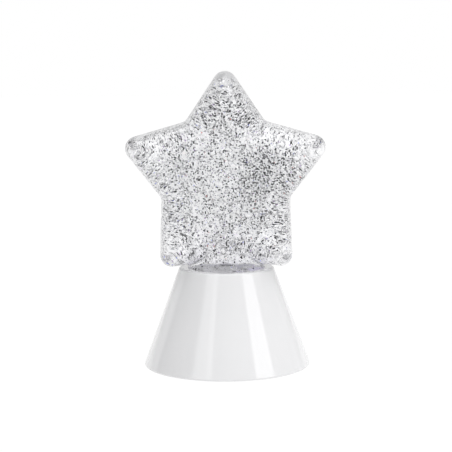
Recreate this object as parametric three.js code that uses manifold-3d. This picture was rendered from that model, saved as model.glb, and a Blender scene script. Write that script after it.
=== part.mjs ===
// Star-shaped glitter lamp: a clear, liquid-filled star with a round neck, standing in a conical base.
// The base holds three AAA cells, a slide switch, a motor that turns a magnet disc, and LEDs.
// The magnet disc drives a magnetic impeller inside the neck, which keeps the glitter moving.
// Millimetres, +Z up, front towards -Y. The origin is on the floor, under the middle of the base.

import * as THREE from "three";
import { mergeVertices } from "three/addons/utils/BufferGeometryUtils.js";
import Module from "manifold-3d";

const wasm = await Module();
wasm.setup();

// ---------- driving dimensions ----------

// Base cone
const BASE_BOTTOM_R = 45;
const BASE_TOP_R = 25.6;
const RIM_Z = 1; // bottom edge of the cone, above the floor
const BASE_TOP_Z = 54.2;
const BASE_WALL = 2.4;
const SLOPE = (BASE_BOTTOM_R - BASE_TOP_R) / (BASE_TOP_Z - RIM_Z);
const SHOULDER_R = 1.4; // rounding of the cone's top edge
const RIM_R = 0.8; // rounding of the cone's bottom edge

// Star vessel
const STAR_Z = 103.4; // height of the star's centre
const TIP_CENTRE_R = 49.9; // from the star's centre to the centre of each tip's rounding
const TIP_R = 6.4;
const TIP_HALF_ANGLE = THREE.MathUtils.degToRad(34);
const CORNER_R = 3; // rounding between two arms
const NOTCH_DEPTH = 44.5; // the bottom corner lies this far under the centre, so the underside is nearly flat
const STAR_HALF_T = 21.5;
const EDGE_REACH = 34; // the face swells over this distance from the edge
const EDGE_POWER = 6.5;
const STAR_WALL = 2.2;
const LIQUID_GAP = 0.3;
const LIQUID_TOP_Z = 154.8; // a small bubble stays above it

// Neck and its seat in the base
const NECK_R = 20.4;
const NECK_BORE_R = 17.9;
const NECK_BOTTOM_Z = 45;
const NECK_TOP_Z = 68;
const SOCKET_R = 20.7;
const SOCKET_WALL = 2.2;
const LIP_R = 18.3;
const LIP_Z = 42.2;
const LIP_TOP_Z = 44;
const PLUG_TOP_Z = 48.5;

// Drive train, on the axis of the base
const PIN_R = 1; // the impeller's pin and the motor's shaft
const PIN_TOP_Z = 57;
const IMPELLER_Z = 48.9;
const IMPELLER_HUB_R = 9;
const IMPELLER_HUB_H = 4;
const BLADE_TIP_R = 14.5;
const MOTOR_R = 12.2;
const MOTOR_Z = 19.5;
const MOTOR_TOP_Z = 31.8;
const BRACKET_T = 2;
const DISC_R = 11;
const DISC_Z = 39.2;
const DISC_TOP_Z = 43.4;
const BOARD_Z = 35.4;
const BOARD_T = 1.6;
const BOARD_R = 19.8;
const POST_RING_R = 26.2; // the bracket's posts stand on this circle
const POST_ANGLES = [90, 210, 330];
const STANDOFF_RING_R = 17;
const LED_RING_R = 14.5;

// Bottom plate, battery bay and door
const PLATE_Z = 1.5;
const PLATE_TOP_Z = 3.6;
const PLATE_R = 42.8;
const CELL_R = 5.2;
const CELL_L = 44.5;
const CELL_PITCH = 11.3;
const CELL_Z = 8.9;
const BAY_X = 26.3; // half the bay's inside length
const BAY_Y = 16.9; // half the bay's inside width
const BAY_WALL = 1.4;
const BAY_CEILING_Z = 14.6;
const BAY_TOP_Z = 16;
const DOOR_X = 26.7;
const DOOR_Y = 17.3;
const DOOR_T = 1.6;
const DOOR_GAP = 0.3;
const TAB_Y = 5.65; // the door's two hinge tabs lie between the cells
const TAB_W = 4;
const PLATE_SCREW_RING_R = 35.5;
const PLATE_SCREW_ANGLES = [45, 135, 225, 315];
const SCREW_SEAT_Z = 4.6;
const SCREW_BOSS_TOP_Z = 6.6;
const FOOT_RING_R = 35.5;
const FOOT_R = 4.6;
const FOOT_ANGLES = [0, 90, 180, 270];

// Slide switch
const SWITCH_Y = 27.3;
const SWITCH_Z = 4.4;
const SWITCH_TRAVEL = 4;

// ---------- helpers: solids from three.js geometry ----------

const TURN = 2 * Math.PI;

// A closed three.js geometry as a manifold-3d solid with its faces pointing out.
function solid(geometry) {
  const bare = geometry.index ? geometry.toNonIndexed() : geometry.clone();
  for (const name of Object.keys(bare.attributes)) if (name !== "position") bare.deleteAttribute(name);
  const merged = mergeVertices(bare, 1e-4);
  const places = merged.attributes.position.array;
  const faces = [];
  let volume = 0;
  for (let i = 0; i < merged.index.count; i += 3) {
    const [a, b, c] = [0, 1, 2].map((k) => merged.index.array[i + k]);
    if (a === b || b === c || c === a) continue;
    faces.push(a, b, c);
    const [p, q, r] = [a, b, c].map((v) => new THREE.Vector3().fromArray(places, 3 * v));
    volume += p.dot(q.cross(r));
  }
  if (volume < 0) faces.reverse();
  return new wasm.Manifold(
    new wasm.Mesh({ numProp: 3, vertProperties: new Float32Array(places), triVerts: new Uint32Array(faces) }),
  );
}

function geometryOf(body) {
  const mesh = body.getMesh();
  const places = new Float32Array(mesh.numVert * 3);
  for (let i = 0; i < mesh.numVert; i++) {
    places.set(mesh.vertProperties.subarray(i * mesh.numProp, i * mesh.numProp + 3), i * 3);
  }
  const geometry = new THREE.BufferGeometry();
  geometry.setAttribute("position", new THREE.BufferAttribute(places, 3));
  geometry.setIndex(new THREE.BufferAttribute(new Uint32Array(mesh.triVerts), 1));
  geometry.computeVertexNormals();
  return geometry;
}

const join = (first, ...others) => others.reduce((body, other) => body.add(other), first);
const cut = (first, ...others) => others.reduce((body, other) => body.subtract(other), first);

// An upright cylinder from z0 to z1.
function rod(r, z0, z1, x = 0, y = 0, sides = 24) {
  const geometry = new THREE.CylinderGeometry(r, r, z1 - z0, sides);
  geometry.rotateX(Math.PI / 2).translate(x, y, (z0 + z1) / 2);
  return solid(geometry);
}

function block(x0, x1, y0, y1, z0, z1) {
  const geometry = new THREE.BoxGeometry(x1 - x0, y1 - y0, z1 - z0);
  geometry.translate((x0 + x1) / 2, (y0 + y1) / 2, (z0 + z1) / 2);
  return solid(geometry);
}

// A profile of [radius, height] pairs turned about the Z axis.
function turned(profile, sides = 32) {
  const points = profile.map(([r, z]) => new THREE.Vector2(r, z));
  if (profile[0][0] > 0 || profile.at(-1)[0] > 0) points.push(points[0].clone());
  return solid(new THREE.LatheGeometry(points, sides).rotateX(Math.PI / 2));
}

// Points on an arc of a profile, from one angle to the other in degrees.
function arc(r, z, radius, from, to, steps) {
  return Array.from({ length: steps + 1 }, (_, i) => {
    const angle = THREE.MathUtils.degToRad(from + ((to - from) * i) / steps);
    return [r + radius * Math.cos(angle), z + radius * Math.sin(angle)];
  });
}

const ring = (inner, outer, z0, z1, sides = 40) =>
  turned([[inner, z0], [outer, z0], [outer, z1], [inner, z1]], sides);

// A point on a circle about the Z axis, at an angle in degrees.
function polar(radius, degrees) {
  const angle = THREE.MathUtils.degToRad(degrees);
  return [radius * Math.cos(angle), radius * Math.sin(angle)];
}

// ---------- materials ----------

const finish = (color, roughness, metalness, opacity = 1) =>
  new THREE.MeshStandardMaterial({ color, roughness, metalness, opacity, transparent: opacity < 1 });

const clearAcrylic = finish(0xf4f6f8, 0.05, 0, 0.35);
const liquidMaterial = finish(0xe9eaee, 0.05, 0, 0.5);
const frostedAcrylic = finish(0xd9d8e2, 0.3, 0, 0.6);
const whiteGloss = finish(0xf2f2f3, 0.15, 0);
const whitePlastic = finish(0xe8e8ea, 0.45, 0);
const rubber = finish(0xb9babd, 0.8, 0);
const steel = finish(0xc4c6c9, 0.3, 1);
const magnet = finish(0x8d9095, 0.25, 1);
const boardGreen = finish(0x1f5a3a, 0.45, 0);
const ledEpoxy = finish(0xeef1f5, 0.1, 0, 0.6);
const blackPlastic = finish(0x1c1c1e, 0.5, 0);
const cellSleeve = finish(0x2f4f7a, 0.3, 0);
const redSleeve = finish(0xb3211c, 0.5, 0);
const blackSleeve = finish(0x151515, 0.5, 0);

// ---------- the assembly ----------

const lamp = new THREE.Group();

function place(name, body, material, x = 0, y = 0, z = 0) {
  const mesh = new THREE.Mesh(geometryOf(body), material);
  mesh.name = name;
  mesh.position.set(x, y, z);
  lamp.add(mesh);
  return mesh;
}

// ---------- star vessel ----------

// The star's sharp corners, anticlockwise from the top tip, each with the rounding it gets.
function starCorners() {
  const tipReach = TIP_CENTRE_R + TIP_R / Math.sin(TIP_HALF_ANGLE);
  const slope = Math.tan(TIP_HALF_ANGLE);
  const cornerReach = (tipReach * slope) / (Math.sin(Math.PI / 5) + Math.cos(Math.PI / 5) * slope);
  const corners = [];
  for (let arm = 0; arm < 5; arm++) {
    const [tipX, tipZ] = polar(tipReach, 90 + 72 * arm);
    const [cornerX, cornerZ] = arm === 2 ? [0, -NOTCH_DEPTH] : polar(cornerReach, 126 + 72 * arm);
    corners.push({ at: new THREE.Vector2(tipX, tipZ), tip: true });
    corners.push({ at: new THREE.Vector2(cornerX, cornerZ), tip: false });
  }
  return corners;
}

// The star's outline moved in from its edge by a distance, as points that pair up from one distance to the next.
function starOutline(inset) {
  const corners = starCorners();
  const count = corners.length;
  const moved = corners.map(({ at, tip }, i) => {
    const before = corners[(i + count - 1) % count].at.clone().sub(at).normalize();
    const after = corners[(i + 1) % count].at.clone().sub(at).normalize();
    const halfAngle = Math.acos(before.dot(after)) / 2;
    const inward = before.add(after).normalize().multiplyScalar(tip ? 1 : -1);
    return { at: at.clone().addScaledVector(inward, inset / Math.sin(halfAngle)), tip };
  });
  const points = [];
  moved.forEach(({ at, tip }, i) => {
    const before = moved[(i + count - 1) % count].at.clone().sub(at).normalize();
    const after = moved[(i + 1) % count].at.clone().sub(at).normalize();
    const halfAngle = Math.acos(before.dot(after)) / 2;
    const radius = tip ? Math.max(TIP_R - inset, 0.6) : CORNER_R + Math.min(inset, 3);
    const centre = at.clone().addScaledVector(before.clone().add(after).normalize(), radius / Math.sin(halfAngle));
    const start = at.clone().addScaledVector(before, radius / Math.tan(halfAngle)).sub(centre).angle();
    const end = at.clone().addScaledVector(after, radius / Math.tan(halfAngle)).sub(centre).angle();
    const sweep = ((end - start + 3 * Math.PI) % TURN) - Math.PI;
    const steps = tip ? 5 : 2;
    for (let k = 0; k <= steps; k++) {
      const angle = start + (sweep * k) / steps;
      points.push([centre.x + radius * Math.cos(angle), centre.y + radius * Math.sin(angle)]);
    }
  });
  return points;
}

// A solid cushion-shaped star: its outline moved in by an inset, and its half thickness.
// Rings run from the middle of the front face, round the edge, to the middle of the back face.
function starCushion(inset, halfThickness) {
  const places = [];
  const faces = [];
  const phases = [6, 22, 42, 60, 76, 90, 104, 120, 138, 158, 174].map(THREE.MathUtils.degToRad);
  for (const phase of phases) {
    const reach = EDGE_REACH * (1 - Math.sin(phase) ** (2 / EDGE_POWER));
    for (const [x, z] of starOutline(inset + reach)) {
      places.push(x, -halfThickness * Math.cos(phase), z + STAR_Z);
    }
  }
  const around = places.length / 3 / phases.length;
  for (let level = 0; level < phases.length - 1; level++) {
    for (let k = 0; k < around; k++) {
      const [a, b] = [level * around + k, level * around + ((k + 1) % around)];
      faces.push(a, b, b + around, a, b + around, a + around);
    }
  }
  const last = (phases.length - 1) * around;
  const front = places.length / 3;
  places.push(0, -halfThickness, STAR_Z, 0, halfThickness, STAR_Z);
  for (let k = 0; k < around; k++) {
    faces.push(front, (k + 1) % around, k, front + 1, last + k, last + ((k + 1) % around));
  }
  const geometry = new THREE.BufferGeometry();
  geometry.setAttribute("position", new THREE.Float32BufferAttribute(places, 3));
  geometry.setIndex(faces);
  return solid(geometry);
}

const NECK_SIDES = 40;

function buildVessel() {
  const outside = join(
    starCushion(0, STAR_HALF_T),
    rod(NECK_R, NECK_BOTTOM_Z, NECK_TOP_Z, 0, 0, NECK_SIDES),
  );
  const inside = join(
    starCushion(STAR_WALL, STAR_HALF_T - STAR_WALL),
    rod(NECK_BORE_R, NECK_BOTTOM_Z - 1, NECK_TOP_Z + 0.2, 0, 0, NECK_SIDES),
  );
  const vessel = cut(outside, inside);
  const far = 80;
  place("star_front_shell", vessel.intersect(block(-far, far, -far, 0, 0, 3 * far)), clearAcrylic);
  place("star_back_shell", vessel.intersect(block(-far, far, 0, far, 0, 3 * far)), clearAcrylic);

  const wall = STAR_WALL + LIQUID_GAP;
  const filling = join(
    starCushion(wall, STAR_HALF_T - wall),
    rod(NECK_BORE_R - 0.25, PLUG_TOP_Z + 0.2, NECK_TOP_Z - 0.1, 0, 0, NECK_SIDES),
  );
  const bubble = block(-far, far, -far, far, LIQUID_TOP_Z, 3 * far);
  const impellerRoom = rod(BLADE_TIP_R + 1.7, NECK_BOTTOM_Z, 57.8, 0, 0, NECK_SIDES);
  place("star_liquid", cut(filling, bubble, impellerRoom), liquidMaterial);
}

// The disc that closes the neck, with its seal, its filling hole and the impeller's pin.
const FILL_HOLE_Y = 11.5;

function buildNeckPlug() {
  const plugR = NECK_BORE_R - 0.2;
  const grooveR = plugR - 1.1;
  const disc = turned(
    [
      [0, NECK_BOTTOM_Z],
      [plugR, NECK_BOTTOM_Z],
      [plugR, NECK_BOTTOM_Z + 1],
      [grooveR, NECK_BOTTOM_Z + 1],
      [grooveR, NECK_BOTTOM_Z + 2.5],
      [plugR, NECK_BOTTOM_Z + 2.5],
      [plugR, PLUG_TOP_Z],
      [0, PLUG_TOP_Z],
    ],
    NECK_SIDES,
  );
  const pinHole = rod(PIN_R + 0.02, PLUG_TOP_Z - 2.5, PLUG_TOP_Z + 1, 0, 0, 16);
  const fillHole = rod(2, NECK_BOTTOM_Z - 1, PLUG_TOP_Z + 1, 0, FILL_HOLE_Y, 12);
  place("neck_plug", cut(disc, pinHole, fillHole), frostedAcrylic);

  const sealR = 0.6;
  place(
    "neck_plug_oring",
    turned(arc(grooveR + sealR + 0.02, NECK_BOTTOM_Z + 1.75, sealR, 45, 315, 3), NECK_SIDES),
    rubber,
  );
  const stopper = join(
    rod(1.9, NECK_BOTTOM_Z - 0.5, PLUG_TOP_Z - 0.2, 0, FILL_HOLE_Y, 12),
    rod(3, NECK_BOTTOM_Z - 0.8, NECK_BOTTOM_Z, 0, FILL_HOLE_Y, 12),
  );
  place("fill_hole_stopper", stopper, rubber);
  place("impeller_pin", rod(PIN_R, PLUG_TOP_Z - 2.3, PIN_TOP_Z, 0, 0, 16), steel);
  place("impeller_retainer", ring(PIN_R + 0.02, 2.6, 56, 56.6, 16), steel);
}

// Four pitched blades on a hub that carries two magnets in pockets on its underside.
function buildImpeller() {
  const magnetR = 2;
  const magnetX = 5.5;
  const bladeCount = 4;
  const bladePitch = THREE.MathUtils.degToRad(50);
  const hubTop = IMPELLER_Z + IMPELLER_HUB_H;
  let wheel = turned(
    [
      [0, PLUG_TOP_Z + 0.1],
      [2.4, PLUG_TOP_Z + 0.1],
      [2.4, IMPELLER_Z],
      [IMPELLER_HUB_R, IMPELLER_Z],
      [IMPELLER_HUB_R, hubTop - 0.8],
      [IMPELLER_HUB_R - 0.8, hubTop],
      [3.6, hubTop + 0.4],
      [3, 55.7],
      [0, 55.7],
    ],
    24,
  );
  for (let i = 0; i < bladeCount; i++) {
    const blade = new THREE.BoxGeometry(BLADE_TIP_R - IMPELLER_HUB_R + 3, 1.2, 6.4);
    blade.rotateX(bladePitch);
    blade.translate((BLADE_TIP_R + IMPELLER_HUB_R - 3) / 2, 0, IMPELLER_Z + 3.2);
    blade.rotateZ((TURN * (i + 0.5)) / bladeCount);
    wheel = join(wheel, solid(blade));
  }
  wheel = cut(wheel, rod(PIN_R + 0.08, IMPELLER_Z - 1, PIN_TOP_Z, 0, 0, 16));
  for (const side of [-1, 1]) {
    wheel = cut(wheel, rod(magnetR + 0.1, IMPELLER_Z - 1, IMPELLER_Z + 2.3, side * magnetX, 0, 14));
  }
  place("impeller", wheel, whitePlastic);
  [-1, 1].forEach((side, i) => {
    place(`impeller_magnet_${i + 1}`, rod(magnetR, 0, 2, 0, 0, 14), magnet, side * magnetX, 0, IMPELLER_Z + 0.1);
  });
}

// ---------- base shell ----------

const coneR = (z) => BASE_BOTTOM_R - SLOPE * (z - RIM_Z);
const wallR = (z) => coneR(z) - BASE_WALL;
const SHELL_SIDES = 44;
const LEDGE_Z = 3.8; // the plate's rim stops against it
const LEDGE_R = 43.1;
const CEILING_Z = 51.8;
const SHELL_POST_Z = SCREW_BOSS_TOP_Z + 0.1;
const BRACKET_POST_Z = 34;

function buildBaseShell() {
  const shoulderZ = BASE_TOP_Z - SHOULDER_R;
  const leanAngle = THREE.MathUtils.radToDeg(Math.atan(SLOPE));
  const profile = [
    [LEDGE_R, RIM_Z],
    ...arc(BASE_BOTTOM_R - RIM_R - 0.1, RIM_Z + RIM_R, RIM_R, -90, leanAngle, 2),
    ...arc(coneR(shoulderZ) - SHOULDER_R - 0.1, shoulderZ, SHOULDER_R, leanAngle, 90, 3),
    [SOCKET_R + 0.3, BASE_TOP_Z],
    [SOCKET_R, BASE_TOP_Z - 0.3],
    [SOCKET_R, LIP_TOP_Z],
    [LIP_R, LIP_TOP_Z],
    [LIP_R, LIP_Z],
    [SOCKET_R + SOCKET_WALL, LIP_Z],
    [SOCKET_R + SOCKET_WALL, CEILING_Z],
    [wallR(CEILING_Z), CEILING_Z],
    [wallR(LEDGE_Z), LEDGE_Z],
    [LEDGE_R, LEDGE_Z],
  ];
  let shell = turned(profile, SHELL_SIDES);
  for (const angle of PLATE_SCREW_ANGLES) {
    const [x, y] = polar(PLATE_SCREW_RING_R, angle);
    shell = join(shell, rod(3.2, SHELL_POST_Z, 17, x, y, 12));
    shell = cut(shell, rod(1.4, SHELL_POST_Z - 1, 14.5, x, y, 8));
  }
  for (const angle of POST_ANGLES) {
    const [x, y] = polar(POST_RING_R, angle);
    shell = join(shell, rod(2.8, BRACKET_POST_Z, 43, x, y, 12));
    shell = cut(shell, rod(1.25, BRACKET_POST_Z - 1, 41, x, y, 8));
  }
  place("base_shell", shell, whiteGloss);
  place("neck_gasket", ring(LIP_R + 0.1, NECK_R, LIP_TOP_Z, NECK_BOTTOM_Z), rubber);
}

// ---------- bottom plate ----------

const DOOR_OPENING_X = DOOR_X + DOOR_GAP;
const DOOR_OPENING_Y = DOOR_Y + DOOR_GAP;
const CONTACT_T = 0.4;
const CONTACT_HALF_W = 3.4;
const CONTACT_LOW_Z = 6.2;
const CONTACT_TOP_Z = 12.5;
const SOLDER_TAB_TOP_Z = 18.2;

function buildBasePlate() {
  const lowZ = PLATE_TOP_Z - 0.2; // the bay's walls start here, over the door's seat
  let plate = rod(PLATE_R, PLATE_Z, PLATE_TOP_Z, 0, 0, SHELL_SIDES);
  const bay = [BAY_X + BAY_WALL, BAY_Y + BAY_WALL];
  plate = join(plate, block(-bay[0], bay[0], -bay[1], bay[1], lowZ, BAY_TOP_Z));
  plate = cut(
    plate,
    block(-DOOR_OPENING_X, DOOR_OPENING_X, -DOOR_OPENING_Y, DOOR_OPENING_Y, 0, lowZ),
    block(-BAY_X, BAY_X, -BAY_Y, BAY_Y, 0, BAY_CEILING_Z),
  );
  // low ribs under the bay's ceiling keep the cells apart
  for (const side of [-1, 1]) {
    const y = (side * CELL_PITCH) / 2;
    plate = join(plate, block(-16, 16, y - 0.35, y + 0.35, 12.6, BAY_CEILING_Z + 0.5));
  }
  // windows for the door's tabs and slots for the solder tabs
  for (const side of [-1, 1]) {
    const y = side * TAB_Y;
    const half = TAB_W / 2 + 0.4;
    plate = cut(plate, block(-bay[0] - 1, -BAY_X + 0.5, y - half, y + half, PLATE_TOP_Z - 0.01, 6));
    const [inner, outer] = [BAY_X - CONTACT_T - 0.4, BAY_X];
    const slotY = side * CELL_PITCH;
    const [from, to] = side > 0 ? [inner, outer] : [-outer, -inner];
    plate = cut(plate, block(from, to, slotY - 1.8, slotY + 1.8, BAY_CEILING_Z - 1, BAY_TOP_Z + 1));
  }
  for (const angle of PLATE_SCREW_ANGLES) {
    const [x, y] = polar(PLATE_SCREW_RING_R, angle);
    plate = join(plate, rod(4.2, PLATE_Z + 0.5, SCREW_BOSS_TOP_Z, x, y, 14));
    plate = cut(plate, rod(3, 0, SCREW_SEAT_Z, x, y, 14), rod(1.6, 0, SCREW_BOSS_TOP_Z + 1, x, y, 8));
  }
  // the switch's slot, its two supports, and a scoop for a fingertip at the door's latch end
  plate = cut(plate, block(-4.8, 4.8, SWITCH_Y - 2.1, SWITCH_Y + 2.1, 0, PLATE_TOP_Z + 1));
  for (const side of [-1, 1]) {
    const [from, to] = side > 0 ? [5.2, 6.4] : [-6.4, -5.2];
    plate = join(plate, block(from, to, SWITCH_Y - 2.6, SWITCH_Y + 2.6, PLATE_TOP_Z - 0.5, SWITCH_Z));
  }
  plate = cut(plate, block(DOOR_OPENING_X - 1, DOOR_OPENING_X + 4, -6, 6, 0, PLATE_Z + 0.9));
  place("base_plate", plate, whitePlastic);

  FOOT_ANGLES.forEach((angle, i) => {
    const [x, y] = polar(FOOT_RING_R, angle);
    const pad = turned([[0, 0], [FOOT_R - 0.5, 0], [FOOT_R, 0.5], [FOOT_R, PLATE_Z], [0, PLATE_Z]], 20);
    place(`rubber_foot_${i + 1}`, pad, rubber, x, y, 0);
  });
}

// A pan-head screw. Its head's underside is at z = 0, and its shank goes up.
function screw(headR, headH, shankR, length) {
  return turned(
    [
      [0, -headH],
      [headR * 0.75, -headH],
      [headR, -headH * 0.55],
      [headR, 0],
      [shankR, 0],
      [shankR, length - shankR],
      [0, length],
    ],
    12,
  );
}

// The plate's screws show from outside, so they have a cross recess.
function buildPlateScrews() {
  const recess = join(block(-1.5, 1.5, -0.35, 0.35, -3, -0.9), block(-0.35, 0.35, -1.5, 1.5, -3, -0.9));
  const plateScrew = cut(screw(2.7, 1.8, 1.2, 9), recess);
  PLATE_SCREW_ANGLES.forEach((angle, i) => {
    const [x, y] = polar(PLATE_SCREW_RING_R, angle);
    place(`plate_screw_${i + 1}`, plateScrew, steel, x, y, SCREW_SEAT_Z);
  });
}

// ---------- battery door ----------

function buildBatteryDoor() {
  const topZ = PLATE_Z + DOOR_T;
  let door = block(-DOOR_X, DOOR_X, -DOOR_Y, DOOR_Y, PLATE_Z, topZ);
  for (const side of [-1, 1]) {
    const [y0, y1] = [side * TAB_Y - TAB_W / 2, side * TAB_Y + TAB_W / 2];
    // each tab rises inside the bay and reaches out over the plate
    door = join(door, block(-26.2, -25, y0, y1, topZ - 0.5, 4.7));
    door = join(door, block(-28.8, -25, y0, y1, PLATE_TOP_Z + 0.1, 4.7));
    // slits that let the latch tongue flex
    door = cut(door, block(20, DOOR_X + 1, side * 5.5 - 0.4, side * 5.5 + 0.4, 0, topZ + 1));
  }
  for (const x of [17, 18.6, 20.2]) {
    door = cut(door, block(x - 0.4, x + 0.4, -4, 4, 0, PLATE_Z + 0.4));
  }
  place("battery_door", door, whitePlastic);
}

// ---------- cells and contacts ----------

// Cell 1 and 3 point their positive ends to +X, and cell 2 to -X.
const CELLS = [
  { y: -CELL_PITCH, towards: 1 },
  { y: 0, towards: -1 },
  { y: CELL_PITCH, towards: 1 },
];
const CONTACT_X = BAY_X - CONTACT_T; // inner face of each contact plate
const CELL_END_X = CONTACT_X - 0.3;

// A conical wire spring that stands on z = 0.
function coneSpring(height, wideR, narrowR, turns) {
  const wireR = 0.3;
  const steps = turns * 8;
  const points = Array.from({ length: steps + 1 }, (_, i) => {
    const share = i / steps;
    const radius = wideR + (narrowR - wideR) * share;
    const angle = TURN * turns * share;
    return new THREE.Vector3(
      radius * Math.cos(angle),
      radius * Math.sin(angle),
      wireR + (height - 2 * wireR) * share,
    );
  });
  return sweep(points, wireR, steps, 5);
}

// A round wire or lead along points.
function sweep(points, radius, steps, sides) {
  const section = new THREE.Shape();
  for (let k = 0; k < sides; k++) {
    const [x, y] = polar(radius, (360 * k) / sides);
    if (k) section.lineTo(x, y);
    else section.moveTo(x, y);
  }
  section.closePath();
  const extrudePath = new THREE.CatmullRomCurve3(points);
  return solid(new THREE.ExtrudeGeometry(section, { steps, extrudePath, bevelEnabled: false }));
}

function buildCells() {
  const nubL = 0.8;
  const shoulder = 0.6;
  const cell = turned(
    [
      [0, 0],
      [CELL_R - shoulder, 0],
      [CELL_R, shoulder],
      [CELL_R, CELL_L - nubL - shoulder],
      [CELL_R - shoulder, CELL_L - nubL],
      [1.9, CELL_L - nubL],
      [1.9, CELL_L],
      [0, CELL_L],
    ],
    20,
  );
  const springL = BAY_X - CONTACT_T + CELL_END_X - CELL_L - 0.6;
  const spring = coneSpring(springL, 3, 1.6, 3);
  CELLS.forEach(({ y, towards }, i) => {
    const mesh = place(`battery_cell_${i + 1}`, cell, cellSleeve, towards * (CELL_END_X - CELL_L), y, CELL_Z);
    mesh.rotation.y = (towards * Math.PI) / 2;
    const coil = place(`contact_spring_${i + 1}`, spring, steel, -towards * (CONTACT_X - 0.3), y, CELL_Z);
    coil.rotation.y = (towards * Math.PI) / 2;
  });
}

// A contact plate at one end of the bay, over one cell or bridging two, with an optional solder tab.
function contact(side, lowY, highY, tabY) {
  const [from, to] = side > 0 ? [CONTACT_X, BAY_X - 0.05] : [-BAY_X + 0.05, -CONTACT_X];
  let plate = block(from, to, lowY - CONTACT_HALF_W, highY + CONTACT_HALF_W, CONTACT_LOW_Z, CONTACT_TOP_Z);
  if (tabY !== undefined) {
    plate = join(plate, block(from, to, tabY - 1.5, tabY + 1.5, CONTACT_TOP_Z - 1, SOLDER_TAB_TOP_Z));
  }
  return plate;
}

function buildContacts() {
  place("contact_negative_end", contact(-1, -CELL_PITCH, -CELL_PITCH, -CELL_PITCH), steel);
  place("contact_link_right", contact(1, -CELL_PITCH, 0), steel);
  place("contact_link_left", contact(-1, 0, CELL_PITCH), steel);
  place("contact_positive_end", contact(1, CELL_PITCH, CELL_PITCH, CELL_PITCH), steel);
}

// ---------- motor, bracket and magnet disc ----------

const BRACKET_TOP_Z = MOTOR_TOP_Z + BRACKET_T;
const MOTOR_SCREW_X = 8;
const SHAFT_TOP_Z = 42.8;

function buildMotor() {
  let can = turned(
    [
      [0, MOTOR_Z],
      [MOTOR_R, MOTOR_Z],
      [MOTOR_R, MOTOR_TOP_Z - 1],
      [MOTOR_R - 0.3, MOTOR_TOP_Z - 0.3],
      [MOTOR_R - 1, MOTOR_TOP_Z],
      [3.6, MOTOR_TOP_Z],
      [3.6, MOTOR_TOP_Z + 1.4],
      [0, MOTOR_TOP_Z + 1.4],
    ],
    24,
  );
  can = cut(can, rod(PIN_R + 0.08, MOTOR_Z + 0.6, MOTOR_TOP_Z + 2, 0, 0, 16));
  for (const side of [-1, 1]) {
    can = cut(can, rod(1.25, 28.5, MOTOR_TOP_Z + 1, side * MOTOR_SCREW_X, 0, 8));
  }
  place("motor_can", can, steel);
  let cap = rod(11.4, 18.3, MOTOR_Z - 0.1, 0, 0, 24);
  for (const side of [-1, 1]) cap = join(cap, block(side * 5 - 0.9, side * 5 + 0.9, -0.3, 0.3, 17.4, 18.5));
  place("motor_end_cap", cap, blackPlastic);
  place("motor_shaft", rod(PIN_R, MOTOR_Z + 1, SHAFT_TOP_Z, 0, 0, 16), steel);
  [-1, 1].forEach((side, i) => {
    const mesh = place(`motor_screw_${i + 1}`, screw(1.9, 1.2, 1, 4), steel);
    mesh.position.set(side * MOTOR_SCREW_X, 0, BRACKET_TOP_Z + 0.1);
    mesh.rotation.x = Math.PI;
  });
}

function buildBracket() {
  let bracket = rod(14.5, MOTOR_TOP_Z, BRACKET_TOP_Z, 0, 0, 24);
  for (const angle of POST_ANGLES) {
    const arm = new THREE.BoxGeometry(POST_RING_R - 10, 8, BRACKET_T);
    arm.translate((POST_RING_R + 10) / 2, 0, (MOTOR_TOP_Z + BRACKET_TOP_Z) / 2);
    arm.rotateZ(THREE.MathUtils.degToRad(angle));
    const [padX, padY] = polar(POST_RING_R, angle);
    const [standX, standY] = polar(STANDOFF_RING_R, angle);
    bracket = join(
      bracket,
      solid(arm),
      rod(4, MOTOR_TOP_Z, BRACKET_TOP_Z, padX, padY, 12),
      rod(2.3, MOTOR_TOP_Z, BOARD_Z, standX, standY, 10),
    );
    bracket = cut(
      bracket,
      rod(1.3, MOTOR_Z, BOARD_Z + 1, padX, padY, 8),
      rod(1.15, MOTOR_Z, BOARD_Z + 1, standX, standY, 8),
    );
  }
  bracket = cut(bracket, rod(4, MOTOR_Z, BOARD_Z + 1, 0, 0, 16));
  for (const side of [-1, 1]) {
    bracket = cut(bracket, rod(1.25, MOTOR_Z, BOARD_Z + 1, side * MOTOR_SCREW_X, 0, 8));
  }
  place("motor_bracket", bracket, whitePlastic);
  POST_ANGLES.forEach((angle, i) => {
    const [x, y] = polar(POST_RING_R, angle);
    place(`bracket_screw_${i + 1}`, screw(2.2, 1.4, 1, 8), steel, x, y, MOTOR_TOP_Z - 0.1);
  });
}

function buildMagnetDisc() {
  const magnetR = 3;
  const magnetX = 7;
  let disc = turned(
    [
      [0, DISC_Z - 1.2],
      [3, DISC_Z - 1.2],
      [3, DISC_Z],
      [DISC_R, DISC_Z],
      [DISC_R, DISC_TOP_Z],
      [0, DISC_TOP_Z],
    ],
    28,
  );
  disc = cut(disc, rod(PIN_R + 0.02, MOTOR_Z, DISC_TOP_Z + 1, 0, 0, 16));
  for (const side of [-1, 1]) {
    disc = cut(disc, rod(magnetR + 0.1, DISC_Z + 1, DISC_TOP_Z + 1, side * magnetX, 0, 16));
  }
  place("drive_disc", disc, whitePlastic);
  [-1, 1].forEach((side, i) => {
    place(`drive_magnet_${i + 1}`, rod(magnetR, 0, 3, 0, 0, 16), magnet, side * magnetX, 0, DISC_Z + 1.1);
  });
}

// ---------- circuit board and LEDs ----------

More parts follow.
